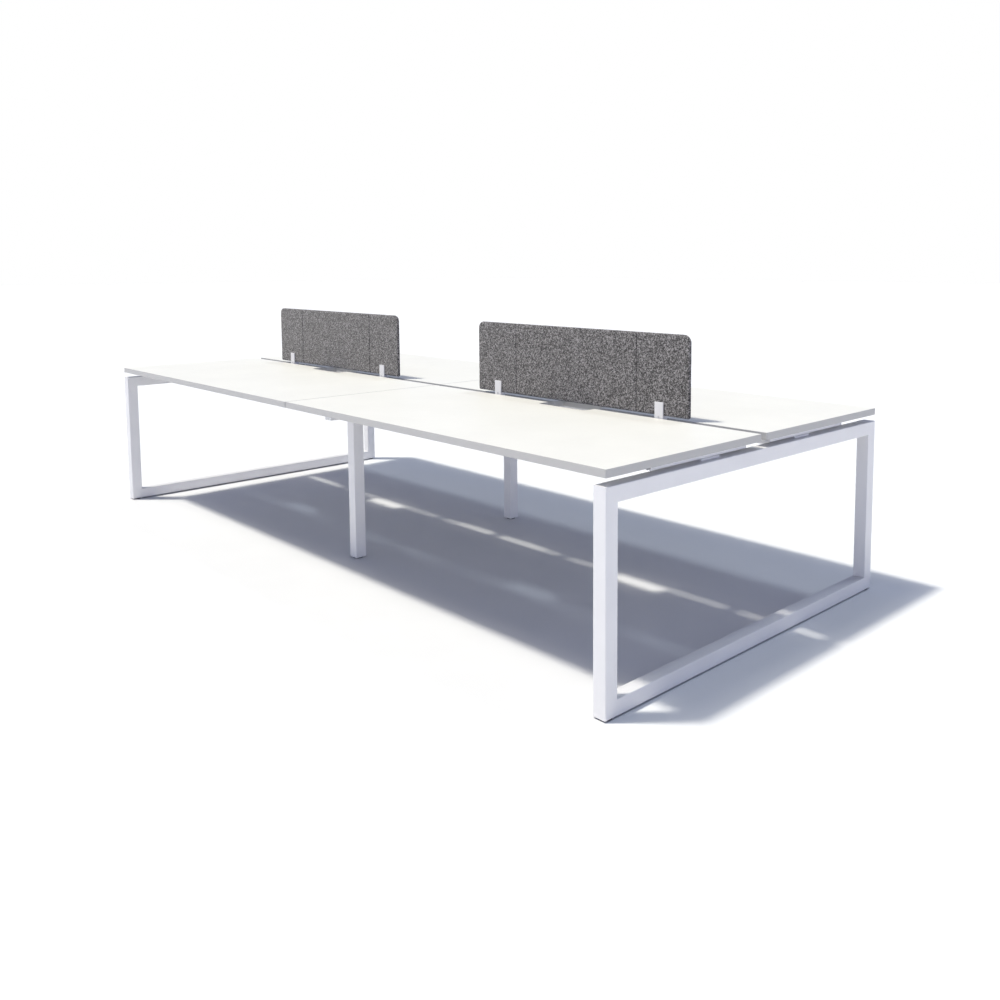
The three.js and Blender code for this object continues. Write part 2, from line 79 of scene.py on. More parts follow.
class DeskSizes(PropertyGroup):
    """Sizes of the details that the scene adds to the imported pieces"""

    tube_corner: FloatProperty(
        name="Tube corner", description="Outer radius of the square tubes", default=0.003,
        unit="LENGTH")
    steel_edge: FloatProperty(
        name="Steel edge", description="Rounding of cut steel edges", default=0.0005, unit="LENGTH")
    beam_width: FloatProperty(
        name="Beam width", description="Width of the beams' tube", default=0.03, unit="LENGTH")
    beam_height: FloatProperty(
        name="Beam height", description="Height of the beams' tube", default=0.04, unit="LENGTH")
    beam_plate: FloatProperty(
        name="Beam plate", description="Thickness of the beams' bolting plates", default=0.005,
        unit="LENGTH")
    cap_plate: FloatProperty(
        name="Cap plate", description="Thickness of a tube cap outside its tube", default=0.002,
        unit="LENGTH")
    tie_height: FloatProperty(
        name="Tie height", description="Height of the screen brackets' ties", default=0.008,
        unit="LENGTH")
    post_depth: FloatProperty(
        name="Post depth", description="Depth of the screen brackets' posts", default=0.026,
        unit="LENGTH")
    clearance: FloatProperty(
        name="Clearance", description="Between pieces that meet", default=0.0003, unit="LENGTH")
    weld: FloatProperty(
        name="Weld", description="Leg of the fillet weld between a beam and its plate",
        default=0.003, unit="LENGTH")
    board_edge: FloatProperty(
        name="Board edge", description="Rounding of the boards beside the edging", default=0.0002,
        unit="LENGTH")
    band_edge: FloatProperty(
        name="Edging arris", description="Rounding of the edging's outer edges", default=0.001,
        unit="LENGTH")
    plan_corner: FloatProperty(
        name="Worktop corner", description="Radius of a worktop's corners, seen from above",
        default=0.005, unit="LENGTH")
    notch_width: FloatProperty(
        name="Notch width", description="Width of the cable notch in a worktop's inner edge",
        default=0.26, unit="LENGTH")
    notch_depth: FloatProperty(
        name="Notch depth", description="Depth of the cable notch", default=0.055, unit="LENGTH")
    notch_corner: FloatProperty(
        name="Notch corner", description="Radius of the cable notch's inner corners", default=0.01,
        unit="LENGTH")
    felt_edge: FloatProperty(
        name="Felt edge", description="Rounding of the screens' edges", default=0.007,
        unit="LENGTH")
    felt_top_corner: FloatProperty(
        name="Screen top corner", description="Radius of the screens' upper corners", default=0.03,
        unit="LENGTH")
    felt_foot_corner: FloatProperty(
        name="Screen foot corner", description="Radius of the screens' lower corners",
        default=0.008, unit="LENGTH")
    felt_mesh: FloatProperty(
        name="Felt mesh", description="Spacing of the felt's points", default=0.005, unit="LENGTH")
    felt_waviness: FloatProperty(
        name="Felt waviness", description="How uneven the felt's surface is", default=0.0003,
        unit="LENGTH")
    seam_inset: FloatProperty(
        name="Seam inset", description="Sewn seams from the screens' ends", default=0.25,
        unit="LENGTH")
    seam_depth: FloatProperty(
        name="Seam depth", description="How far a seam draws the felt in", default=0.0034,
        unit="LENGTH")
    seam_reach: FloatProperty(
        name="Seam reach", description="How far beside a seam the felt is drawn in", default=0.0017,
        unit="LENGTH")
    stitch_pitch: FloatProperty(
        name="Stitch pitch", description="From one stitch to the next", default=0.007,
        unit="LENGTH")
    stitch_length: FloatProperty(
        name="Stitch length", description="Length of one stitch", default=0.0052, unit="LENGTH")
    yarn: FloatProperty(
        name="Yarn", description="Radius of the sewing yarn", default=0.0008, unit="LENGTH")
    plate_bolt: FloatProperty(
        name="Plate bolt", description="Radius of the bolt heads on the beams' plates",
        default=0.0075, unit="LENGTH")
    clamp_bolt: FloatProperty(
        name="Clamp bolt", description="Radius of the bolt heads on the screen brackets' posts",
        default=0.0028, unit="LENGTH")
    clamp_drop: FloatProperty(
        name="Clamp drop", description="Clamp bolts below the felt's lower edge", default=0.003,
        unit="LENGTH")
    tie_bolt: FloatProperty(
        name="Tie bolt", description="Radius of the bolt heads that hold the screen brackets",
        default=0.006, unit="LENGTH")
    foot_ribs: IntProperty(
        name="Foot ribs", description="Grip ribs round each levelling foot", default=30, min=8)
    foot_rib: FloatProperty(
        name="Foot rib", description="Radius of a grip rib", default=0.0008, unit="LENGTH")
    pad_height: FloatProperty(
        name="Pad height", description="Height of a levelling foot's pad", default=0.0047,
        unit="LENGTH")
    stem_radius: FloatProperty(
        name="Stem radius", description="Outer radius of a levelling foot's stem", default=0.005,
        unit="LENGTH")
    thread_pitch: FloatProperty(
        name="Thread pitch", description="Pitch of the feet's threaded stems", default=0.0015,
        unit="LENGTH")
    thread_depth: FloatProperty(
        name="Thread depth", description="Depth of the feet's threads", default=0.0008,
        unit="LENGTH")


class DeskColours(PropertyGroup):
    """Colours of the desk's finishes"""

    frame_white: FloatVectorProperty(
        name="Frame", description="Powder coat of the frames", default=(0.782, 0.777, 0.806),
        subtype="COLOR")
    # Painted light: the frames' powder coat made brighter for the slide rails and blocks, standing
    # in for light that reaches them in the shade under the worktops
    slide_white: FloatVectorProperty(
        name="Slides", description="Brighter coat of the slide rails and blocks",
        default=(0.89, 0.885, 0.92), subtype="COLOR")
    top_white: FloatVectorProperty(
        name="Worktop", description="Melamine of the worktops", default=(0.80, 0.79, 0.765),
        subtype="COLOR")
    edge_grey: FloatVectorProperty(
        name="Edging", description="Edging of the worktops", default=(0.478, 0.472, 0.475),
        subtype="COLOR")
    felt_dark: FloatVectorProperty(
        name="Felt, dark wool", description="Darkest wool in the felt",
        default=(0.028, 0.026, 0.027), subtype="COLOR")
    felt_light: FloatVectorProperty(
        name="Felt, light wool", description="Lightest wool in the felt",
        default=(0.352, 0.334, 0.343), subtype="COLOR")
    yarn_grey: FloatVectorProperty(
        name="Yarn", description="Sewing yarn of the seams", default=(0.03, 0.03, 0.033),
        subtype="COLOR")
    foot_black: FloatVectorProperty(
        name="Feet", description="Moulded plastic of the feet", default=(0.014, 0.014, 0.016),
        subtype="COLOR")
    cap_white: FloatVectorProperty(
        name="Caps", description="Moulded plastic of the tube caps", default=(0.76, 0.77, 0.80),
        subtype="COLOR")
    zinc: FloatVectorProperty(
        name="Zinc", description="Zinc plating of bolts and stems", default=(0.66, 0.67, 0.68),
        subtype="COLOR")


class DeskStage(PropertyGroup):
    """Camera, light and floor"""

    camera_place: FloatVectorProperty(
        name="Camera", description="Where the camera stands", default=(3.5030, -2.5888, 1.2815),
        subtype="TRANSLATION")
    camera_tilt: FloatProperty(
        name="Tilt", description="Camera below the horizon", default=math.radians(5.4324),
        subtype="ANGLE")
    camera_turn: FloatProperty(
        name="Turn", description="Camera to the left of +Y", default=math.radians(44.6255),
        subtype="ANGLE")
    camera_lens: FloatProperty(
        name="Lens", description="Focal length on a 36 mm sensor, in millimetres", default=33.366,
        unit="CAMERA")
    camera_shift: FloatVectorProperty(
        name="Shift", description="Lens shift, in frame widths", default=(-0.08205, -0.14670),
        size=2)
    sun_travel: FloatVectorProperty(
        name="Sun", description="Direction in which the sunlight travels",
        default=(0.277, 0.280, -1.0), subtype="DIRECTION")
    sun_colour: FloatVectorProperty(
        name="Sun colour", description="Colour of the sunlight", default=(1.0, 0.967, 0.844),
        subtype="COLOR")
    sun_strength: FloatProperty(
        name="Sun strength", description="Strength of the sunlight", default=2.57)
    sun_size: FloatProperty(
        name="Sun size", description="Apparent size of the sun", default=math.radians(4.2),
        subtype="ANGLE")
    haze_strength: FloatProperty(
        name="Haze strength", description="Strength of the bright haze round the sun", default=0.81)
    haze_size: FloatProperty(
        name="Haze size", description="Apparent size of the haze", default=math.radians(16.0),
        subtype="ANGLE")
    back_travel: FloatVectorProperty(
        name="Back light", description="Direction in which the light from behind travels",
        default=(-0.06, -0.335, -1.0), subtype="DIRECTION")
    back_colour: FloatVectorProperty(
        name="Back light colour", description="Colour of the light from behind",
        default=(0.833, 0.938, 1.0), subtype="COLOR")
    back_strength: FloatProperty(
        name="Back light strength", description="Strength of the light from behind", default=0.52)
    back_size: FloatProperty(
        name="Back light size", description="Apparent size of the light from behind",
        default=math.radians(7.5), subtype="ANGLE")
    sky: FloatVectorProperty(
        name="Sky", description="Colour of the soft light from all round",
        default=(0.641, 0.716, 1.0), subtype="COLOR")
    sky_strength: FloatProperty(
        name="Sky strength", description="Strength of the soft light from all round", default=0.762)
    sky_lean: FloatVectorProperty(
        name="Sky lean", description="Towards where the sky is brighter, and by how much",
        default=(0.0, 0.0, -0.8), subtype="XYZ")
    floor_seen: FloatVectorProperty(
        name="Floor", description="Colour of the floor as it is seen",
        default=(0.824, 0.831, 0.867), subtype="COLOR")
    floor_bounce: FloatVectorProperty(
        name="Floor bounce", description="Colour of the floor as it lights the desk",
        default=(0.95, 0.95, 0.96), subtype="COLOR")
    floor_return: FloatProperty(
        name="Floor return", description="Share of that light that the floor throws back to itself",
        default=0.25, min=0.0, max=1.0)
    floor_reach: FloatProperty(
        name="Floor reach", description="From the desk to the floor's edge", default=60.0,
        unit="LENGTH")


# Node trees

class Tree:
    """A node tree in the making."""

    def __init__(self, tree):
        self.tree = tree

    def node(self, kind, *values, **named):
        """A node with its settings, in lower-case names, and its inputs, in order or by name."""
        made = self.tree.nodes.new(kind)
        for name, value in named.items():
            if name.islower():
                setattr(made, name, value)
        for socket, value in zip(made.inputs, values):
            self.feed(socket, value)
        self.fill(made, **{name: value for name, value in named.items() if not name.islower()})
        return made

    def fill(self, node, **inputs):
        """Feeds inputs by name, with _ for a space."""
        for name, value in inputs.items():
            self.feed(node.inputs[name.replace("_", " ")], value)

    def feed(self, socket, value):
        """Links an input to another node's socket, or sets it to a value."""
        if isinstance(value, bpy.types.NodeSocket):
            self.tree.links.new(value, socket)
        else:
            socket.default_value = value


# Finishes

class Finish(Tree):
    """A material in the making: a Principled shader whose patterns read Object coordinates."""

    def __init__(self, name, **constants):
        self.material = bpy.data.materials.new(name)
        self.material.use_nodes = True
        super().__init__(self.material.node_tree)
        self.place = self.node("ShaderNodeTexCoord").outputs["Object"]
        self.set_shader(**constants)

    def set_shader(self, **inputs):
        self.fill(self.tree.nodes["Principled BSDF"], **inputs)

    def stretched(self, scale):
        return self.node("ShaderNodeMapping", Vector=self.place, Scale=scale).outputs["Vector"]

    def grain(self, per_metre, place=None, **inputs):
        """Noise with that many features to the metre."""
        made = self.node(
            "ShaderNodeTexNoise", Vector=place or self.place, Scale=per_metre, **inputs)
        return made.outputs["Fac"]

    def sum(self, first, second, weight):
        """first plus weight times second."""
        made = self.node("ShaderNodeMath", second, weight, first, operation="MULTIPLY_ADD")
        return made.outputs["Value"]

    def spread(self, value, low, high, start=0.3, end=0.7):
        """value from start to end, carried to low and high."""
        made = self.node(
            "ShaderNodeMapRange", Value=value, From_Min=start, From_Max=end, To_Min=low,
            To_Max=high)
        return made.outputs["Result"]

    def shades(self, value, *stops):
        """A colour ramp of (position, colour) stops."""
        made = self.node("ShaderNodeValToRGB", Fac=value)
        elements = made.color_ramp.elements
        for _ in stops[2:]:
            elements.new(0.5)
        for element, (position, colour) in zip(elements, stops):
            element.position = position
            element.color = (*colour, 1.0)
        return made.outputs["Color"]

    def mottle(self, source, colour, dark, light, reach=0.15):
        """Tints a colour from dark to light as source goes from reach below to reach above 0.5."""
        self.set_shader(Base_Color=self.shades(
            source, (0.5 - reach, tinted(colour, dark)), (0.5 + reach, tinted(colour, light))))

    def gloss(self, source, low, high):
        """Lets the roughness follow source."""
        self.set_shader(Roughness=self.spread(source, low, high))

    def relief(self, height, distance, strength):
        bump = self.node("ShaderNodeBump", Height=height, Distance=distance, Strength=strength)
        self.set_shader(Normal=bump.outputs["Normal"])


def tinted(colour, factor):
    return tuple(min(1.0, channel * factor) for channel in colour)


def colours():
    return bpy.context.scene.desk_colours


def sizes():
    return bpy.context.scene.desk_sizes


def once(make):
    """A finish that is made the first time it is asked for and shared after that."""
    def shared():
        return bpy.data.materials.get(make.__name__) or make(make.__name__).material
    return shared


def coated(name, white):
    finish = Finish(name, Coat_Weight=0.08, Coat_Roughness=0.25)
    finish.mottle(finish.grain(per_metre=7.0, Detail=2.0), white, dark=0.985, light=1.015)
    finish.gloss(finish.grain(per_metre=60.0, Detail=3.0), low=0.40, high=0.50)
    finish.relief(finish.grain(per_metre=850.0, Detail=1.0), distance=0.0002, strength=0.12)
    return finish


@once
def powder_coat(name):
    return coated(name, colours().frame_white)


# Painted light: a brighter copy of the powder coat, lifting the slide rails and blocks out of the
# shade under the worktops
@once
def slide_coat(name):
    return coated(name, colours().slide_white)


@once
def melamine(name):
    finish = Finish(name, IOR=1.48)
    clouds = finish.grain(per_metre=4.0, Detail=3.0)
    finish.mottle(clouds, colours().top_white, dark=0.985, light=1.01)
    finish.gloss(finish.grain(per_metre=35.0, Detail=3.0), low=0.46, high=0.56)
    finish.relief(finish.grain(per_metre=1400.0, Detail=2.0), distance=0.0001, strength=0.15)
    return finish


@once
def edging_plastic(name):
    finish = Finish(name)
    lines = finish.grain(1.0, finish.stretched((3.0, 3.0, 1800.0)), Detail=2.0)
    finish.mottle(lines, colours().edge_grey, dark=0.975, light=1.02, reach=0.2)
    finish.gloss(finish.grain(per_metre=80.0, Detail=2.0), low=0.36, high=0.46)
    finish.relief(lines, distance=0.0001, strength=0.15)
    return finish


@once
def wool_felt(name):
    finish = Finish(
        name, Sheen_Weight=0.25, Sheen_Roughness=0.6, Specular_IOR_Level=0.2, Roughness=0.95)
    dark = colours().felt_dark
    light = colours().felt_light
    tufts = finish.grain(per_metre=205.0, Detail=2.0, Roughness=0.6, Distortion=0.8)
    wool = finish.grain(per_metre=520.0, Detail=4.0, Roughness=0.7, Distortion=3.0)
    melange = finish.sum(tufts, finish.spread(wool, low=-0.5, high=0.5), weight=0.12)
    finish.set_shader(Base_Color=finish.shades(
        melange, (0.41, dark), (0.48, tinted(light, 0.2)), (0.53, tinted(light, 0.45)),
        (0.61, light)))
    finish.relief(finish.sum(tufts, wool, weight=0.8), distance=0.0009, strength=0.6)
    return finish


@once
def sewing_yarn(name):
    finish = Finish(name, Sheen_Weight=0.2, Roughness=0.85)
    twist = finish.grain(1.0, finish.stretched((1500.0, 1500.0, 500.0)), Detail=1.0)
    finish.mottle(twist, colours().yarn_grey, dark=0.6, light=1.5, reach=0.2)
    finish.relief(twist, distance=0.0003, strength=0.4)
    return finish


@once
def moulded_black(name):
    finish = Finish(name, Specular_IOR_Level=0.2)
    clouds = finish.grain(per_metre=90.0, Detail=3.0)
    finish.mottle(clouds, colours().foot_black, dark=0.8, light=1.4)
    finish.gloss(finish.grain(per_metre=400.0, Detail=2.0), low=0.45, high=0.62)
    finish.relief(finish.grain(per_metre=2200.0, Detail=2.0), distance=0.0001, strength=0.3)
    return finish


@once
def moulded_white(name):
    finish = Finish(name)
    clouds = finish.grain(per_metre=25.0, Detail=2.0)
    finish.mottle(clouds, colours().cap_white, dark=0.98, light=1.015)
    finish.gloss(finish.grain(per_metre=300.0, Detail=2.0), low=0.34, high=0.44)
    finish.relief(finish.grain(per_metre=1800.0, Detail=2.0), distance=0.0001, strength=0.2)
    return finish


@once
def zinc_plate(name):
    finish = Finish(name, Metallic=1.0)
    spangle = finish.grain(per_metre=240.0, Detail=3.0)
    finish.mottle(spangle, colours().zinc, dark=0.85, light=1.08)
    finish.gloss(spangle, low=0.28, high=0.42)
    finish.relief(finish.grain(per_metre=1200.0, Detail=2.0), distance=0.0001, strength=0.15)
    return finish


# Mesh building

def rounded_outline(width, height, radius):
    """Points round a rectangle about the origin, with rounded corners."""
    points = []
    for quarter, (x, y) in enumerate(SQUARE):
        middle_x = x * (width / 2 - radius)
        middle_y = y * (height / 2 - radius)
        for step in range(CORNER_STEPS + 1):
            angle = math.pi + (quarter + step / CORNER_STEPS) * math.pi / 2
            points.append(
                (middle_x + radius * math.cos(angle), middle_y + radius * math.sin(angle)))
    return points


def quarter_round(radius):
    """(depth, inset) pairs round an edge, from its end face to its side."""
    angles = [step / EDGE_STEPS * math.pi / 2 for step in range(EDGE_STEPS + 1)]
    return [(radius * (1 - math.cos(angle)), radius * (1 - math.sin(angle))) for angle in angles]


def bridge(bm, first, second):
    """Faces between two rings of vertices."""
    for i in range(len(first)):
        bm.faces.new((first[i - 1], first[i], second[i], second[i - 1]))


def skin(bm, rings, meets_itself=False):
    """Faces between rings of points; a skin that doesn't meet itself is capped at both ends."""
    loops = [[bm.verts.new(point) for point in ring] for ring in rings]
    pairs = list(zip(loops, loops[1:]))
    if meets_itself:
        pairs.append((loops[-1], loops[0]))
    else:
        bm.faces.new(loops[0][::-1])
        bm.faces.new(loops[-1])
    for first, second in pairs:
        bridge(bm, first, second)


def bar(bm, low, high, axis, corner, edge):
    """A bar from low to high, with rounded corners along axis and softened ends."""
    size = high - low
    middle = (low + high) / 2
    across, up = (axis + 1) % 3, (axis + 2) % 3
    ends = quarter_round(edge)
    slices = ends + [(size[axis] - depth, inset) for depth, inset in reversed(ends)]
    rings = []
    for depth, inset in slices:
        radius = max(corner - inset, edge / 4)
        ring = []
        for a, b in rounded_outline(size[across] - 2 * inset, size[up] - 2 * inset, radius):
            point = Vector()
            point[axis] = low[axis] + depth
            point[across] = middle[across] + a
            point[up] = middle[up] + b
            ring.append(point)
        rings.append(ring)
    skin(bm, rings)


def boxes(*nodes):
    """The box round several CAD nodes."""
    corners = [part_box(node) for node in nodes]
    low = Vector(min(low[axis] for low, _ in corners) for axis in (X, Y, Z))
    high = Vector(max(high[axis] for _, high in corners) for axis in (X, Y, Z))
    return low, high


def softened(node, edge):
    """A CAD node's shape with its triangles merged and its edges rounded."""
    bm = bmesh.new()
    bm.from_mesh(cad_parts[node].data)
    bmesh.ops.remove_doubles(bm, verts=bm.verts, dist=MERGE_DISTANCE)
    bmesh.ops.dissolve_limit(bm, angle_limit=FLAT_ANGLE, verts=bm.verts, edges=bm.edges)
    sharp = [line for line in bm.edges if line.calc_face_angle(0.0) > SHARP_ANGLE]
    bmesh.ops.bevel(
        bm, geom=sharp, offset=edge, segments=2, profile=0.5, affect="EDGES", clamp_overlap=True)
    return bm


def paint(mesh, material):
    mesh.materials.clear()
    mesh.materials.append(material)


def link(name, mesh, material):
    paint(mesh, material)
    piece = bpy.data.objects.new(name, mesh)
    bpy.context.scene.collection.objects.link(piece)
    return piece


def place(piece, body, nodes=(), slot=None):
    """Lets a finished piece ride on its body and stand for the CAD nodes named."""
    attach(piece, body)
    if nodes:
        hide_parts(*nodes)


def finish_piece(name, bm, material, body, nodes=(), slot=None):
    """An object at the origin from bm, evenly shaded, in place on its body."""
    bmesh.ops.recalc_face_normals(bm, faces=bm.faces)
    mesh = bpy.data.meshes.new(name)
    bm.to_mesh(mesh)
    bm.free()
    mesh.shade_smooth()
    mesh.set_sharp_from_angle(angle=SHARP_ANGLE)
    piece = link(name, mesh, material)
    piece.modifiers.new("even_shading", "WEIGHTED_NORMAL").keep_sharp = True
    place(piece, body, nodes, slot)


def dress(node, bm, material, slot, body="frame"):
    """A finished piece in place of one CAD node."""
    finish_piece(f"{node}_finished", bm, material, body, [node], slot)


# Geometry node trees

class Pattern(Tree):
    """A geometry tree in the making, with a path, named lengths and counts, and an output."""

    def __init__(self, name, lengths, counts=()):
        super().__init__(bpy.data.node_groups.new(name, "GeometryNodeTree"))
        self.add_socket("Geometry", "NodeSocketGeometry", "OUTPUT")
        self.add_socket("Path", "NodeSocketGeometry")
        kinds = dict.fromkeys(lengths, "NodeSocketFloat")
        kinds.update(dict.fromkeys(counts, "NodeSocketInt"))
        self.sockets = {name: self.add_socket(name, kinds[name]).identifier for name in kinds}
        self.start = self.node("NodeGroupInput")

    def add_socket(self, name, kind, way="INPUT"):
        return self.tree.interface.new_socket(name=name, in_out=way, socket_type=kind)

    def given(self, name):
        return self.start.outputs[name]

    def times(self, value, factor):
        made = self.node("ShaderNodeMath", value, factor, operation="MULTIPLY")
        return made.outputs["Value"]

    def raised(self, mesh, height):
        offset = self.node("ShaderNodeCombineXYZ", Z=height).outputs["Vector"]
        made = self.node("GeometryNodeTransform", Geometry=mesh, Translation=offset)
        return made.outputs["Geometry"]

    def together(self, *meshes):
        made = self.node("GeometryNodeJoinGeometry")
        for mesh in meshes:
            self.fill(made, Geometry=mesh)
        return made.outputs["Geometry"]

    def turned(self, direction):
        """The turn that lays Z along a direction."""
        made = self.node("FunctionNodeAlignRotationToVector", axis="Z", Vector=direction)
        return made.outputs["Rotation"]

    def on_points(self, points, shape, **inputs):
        made = self.node(
            "GeometryNodeInstanceOnPoints", Points=points, Instance=shape, **inputs)
        return made.outputs["Instances"]

    def end(self, instances, material):
        real = self.node("GeometryNodeRealizeInstances", Geometry=instances).outputs["Geometry"]
        painted = self.node("GeometryNodeSetMaterial", Geometry=real, Material=material)
        self.node("NodeGroupOutput", Geometry=painted.outputs["Geometry"])

    def grow(self, name, base, material, body, slot=None, smooth=True, **values):
        """Runs the tree on a base mesh and places the plain mesh that it gives on its body."""
        seed = link(name + "_base", base, material)
        modifier = seed.modifiers.new(name, "NODES")
        modifier.node_group = self.tree
        for socket, value in values.items():
            modifier[self.sockets[socket]] = value
        bpy.context.view_layer.update()
        grown = seed.evaluated_get(bpy.context.evaluated_depsgraph_get())
        mesh = bpy.data.meshes.new_from_object(grown)
        mesh.name = name
        bpy.data.objects.remove(seed)
        bpy.data.meshes.remove(base)
        if smooth:
            mesh.shade_smooth()
        else:
            mesh.shade_flat()
        place(link(name, mesh, material), body, slot=slot)


def bolt_pattern():
    """Hexagon bolts with washers, each standing on a point along its outward vector."""
    pattern = Pattern("bolts", lengths=("Head",))
    head = pattern.given("Head")

    def tier(sides, foot, height, bottom, top):
        """One step of a bolt, its sizes in radii of the head."""
        cone = pattern.node(
            "GeometryNodeMeshCone", Vertices=sides, Radius_Bottom=pattern.times(head, bottom),
            Radius_Top=pattern.times(head, top), Depth=pattern.times(head, height))
        return pattern.raised(cone.outputs["Mesh"], pattern.times(head, foot))

    bolt = pattern.together(
        tier(WASHER_SIDES, foot=0.0, height=0.2, bottom=1.18, top=1.1),
        tier(HEAD_SIDES, foot=0.2, height=0.62, bottom=1.0, top=1.0),
        tier(HEAD_SIDES, foot=0.82, height=0.12, bottom=1.0, top=0.8))
    outward = pattern.node(
        "GeometryNodeInputNamedAttribute", data_type="FLOAT_VECTOR", Name="outward")
    turn = pattern.turned(outward.outputs["Attribute"])
    pattern.end(pattern.on_points(pattern.given("Path"), bolt, Rotation=turn), zinc_plate())
    return pattern


def stitch_pattern():
    """Stitches laid end to end along lines."""
    pattern = Pattern("stitches", lengths=("Pitch", "Length", "Yarn"))
    yarn = pattern.given("Yarn")
    line = pattern.node("GeometryNodeMeshToCurve", Mesh=pattern.given("Path")).outputs["Curve"]
    steps = pattern.node(
        "GeometryNodeResampleCurve", mode="LENGTH", Curve=line, Length=pattern.given("Pitch"))
    stitch = pattern.node("GeometryNodeMeshUVSphere", Segments=8, Rings=6, Radius=1.0)
    shape = pattern.node(
        "ShaderNodeCombineXYZ", X=yarn, Y=yarn, Z=pattern.times(pattern.given("Length"), 0.5))
    tangent = pattern.node("GeometryNodeInputTangent").outputs["Tangent"]
    stitches = pattern.on_points(
        steps.outputs["Curve"], stitch.outputs["Mesh"], Scale=shape.outputs["Vector"],
        Rotation=pattern.turned(tangent))
    pattern.end(stitches, sewing_yarn())
    return pattern


def rib_pattern():
    """Upright grip ribs in a ring round each point."""
    pattern = Pattern("grip_ribs", lengths=("Ring", "Rib", "Height"), counts=("Count",))
    ring = pattern.node(
        "GeometryNodeMeshCircle", Vertices=pattern.given("Count"), Radius=pattern.given("Ring"))
    rib = pattern.node(
        "GeometryNodeMeshCylinder", Vertices=RIB_SIDES, Radius=pattern.given("Rib"),
        Depth=pattern.given("Height"))
    ribs = pattern.on_points(ring.outputs["Mesh"], rib.outputs["Mesh"])
    pattern.end(pattern.on_points(pattern.given("Path"), ribs), moulded_black())
    return pattern


def points_mesh(name, points, outward=None, edges=()):
    """A mesh of loose points or lines for a tree to grow on, with an outward vector for each."""
    mesh = bpy.data.meshes.new(name)
    mesh.from_pydata(points, edges, [])
    if outward:
        attribute = mesh.attributes.new("outward", "FLOAT_VECTOR", "POINT")
        attribute.data.foreach_set("vector", [number for vector in outward for number in vector])
    return mesh


# Felt

